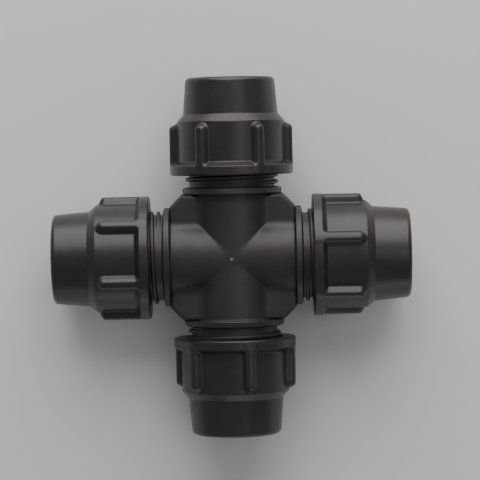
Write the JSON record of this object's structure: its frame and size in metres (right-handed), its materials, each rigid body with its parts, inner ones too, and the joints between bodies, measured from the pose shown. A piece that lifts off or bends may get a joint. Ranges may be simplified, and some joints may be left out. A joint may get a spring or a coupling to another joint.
{
  "type": "cross compression fitting",
  "caption": "Equal cross compression fitting for polyethylene pipe, with a ribbed screwed nut on each leg.",
  "frame": {"origin": "where the axes of the four legs cross, in the middle of the body", "axes": "+X and +Y along two neighbouring legs, towards their mouths; +Z square to the plane of the cross"},
  "size_m": [0.1726, 0.1726, 0.0596],
  "materials": {
    "body_plastic": "satin moulded black",
    "nut_plastic": "satin moulded black",
    "bush_plastic": "satin moulded black",
    "grip_plastic": "natural white, slightly waxy",
    "seal_rubber": "matt black rubber"
  },
  "bodies": {
    "body": {"cross_body": "body_plastic", "o_ring_north": "seal_rubber", "o_ring_east": "seal_rubber", "o_ring_south": "seal_rubber", "o_ring_west": "seal_rubber"},
    "north_ring": {"grip_ring_north": "grip_plastic"},
    "east_ring": {"grip_ring_east": "grip_plastic"},
    "south_ring": {"grip_ring_south": "grip_plastic"},
    "west_ring": {"grip_ring_west": "grip_plastic"},
    "north_nut": {"nut_north": "nut_plastic"},
    "east_nut": {"nut_east": "nut_plastic"},
    "south_nut": {"nut_south": "nut_plastic"},
    "west_nut": {"nut_west": "nut_plastic"},
    "north_bush": {"thrust_bush_north": "bush_plastic"},
    "east_bush": {"thrust_bush_east": "bush_plastic"},
    "south_bush": {"thrust_bush_south": "bush_plastic"},
    "west_bush": {"thrust_bush_west": "bush_plastic"}
  },
  "joints": [
    {"name": "north_nut_advance", "type": "slide", "parent": "body", "child": "north_ring", "axis": [0, 1, 0], "range_m": [-0.0056, 0.00668]},
    {"name": "north_nut_turn", "type": "hinge", "parent": "north_ring", "child": "north_nut", "pos_m": [0, 0.06, 0], "axis": [0, 1, 0], "range_deg": [-629.3, 750.7]},
    {"name": "north_bush_play", "type": "slide", "parent": "body", "child": "north_bush", "axis": [0, 1, 0], "range_m": [-0.0006, 0.0009]},
    {"name": "east_nut_advance", "type": "slide", "parent": "body", "child": "east_ring", "axis": [1, 0, 0], "range_m": [-0.00463, 0.00764]},
    {"name": "east_nut_turn", "type": "hinge", "parent": "east_ring", "child": "east_nut", "pos_m": [0.06, 0, 0], "axis": [1, 0, 0], "range_deg": [-520.8, 859.2]},
    {"name": "east_bush_play", "type": "slide", "parent": "body", "child": "east_bush", "axis": [1, 0, 0], "range_m": [-0.0006, 0.0009]},
    {"name": "south_nut_advance", "type": "slide", "parent": "body", "child": "south_ring", "axis": [0, -1, 0], "range_m": [-0.0052, 0.00708]},
    {"name": "south_nut_turn", "type": "hinge", "parent": "south_ring", "child": "south_nut", "pos_m": [0, -0.06, 0], "axis": [0, -1, 0], "range_deg": [-584.2, 795.8]},
    {"name": "south_bush_play", "type": "slide", "parent": "body", "child": "south_bush", "axis": [0, -1, 0], "range_m": [-0.0006, 0.0009]},
    {"name": "west_nut_advance", "type": "slide", "parent": "body", "child": "west_ring", "axis": [-1, 0, 0], "range_m": [-0.0062, 0.00608]},
    {"name": "west_nut_turn", "type": "hinge", "parent": "west_ring", "child": "west_nut", "pos_m": [-0.06, 0, 0], "axis": [-1, 0, 0], "range_deg": [-696.5, 683.5]},
    {"name": "west_bush_play", "type": "slide", "parent": "body", "child": "west_bush", "axis": [-1, 0, 0], "range_m": [-0.0006, 0.0009]}
  ],
  "couplings": [
    {"joint": "north_nut_advance", "follows": "north_nut_turn", "m_per_rad": 0.0005093},
    {"joint": "east_nut_advance", "follows": "east_nut_turn", "m_per_rad": 0.0005093},
    {"joint": "south_nut_advance", "follows": "south_nut_turn", "m_per_rad": 0.0005093},
    {"joint": "west_nut_advance", "follows": "west_nut_turn", "m_per_rad": 0.0005093}
  ]
}
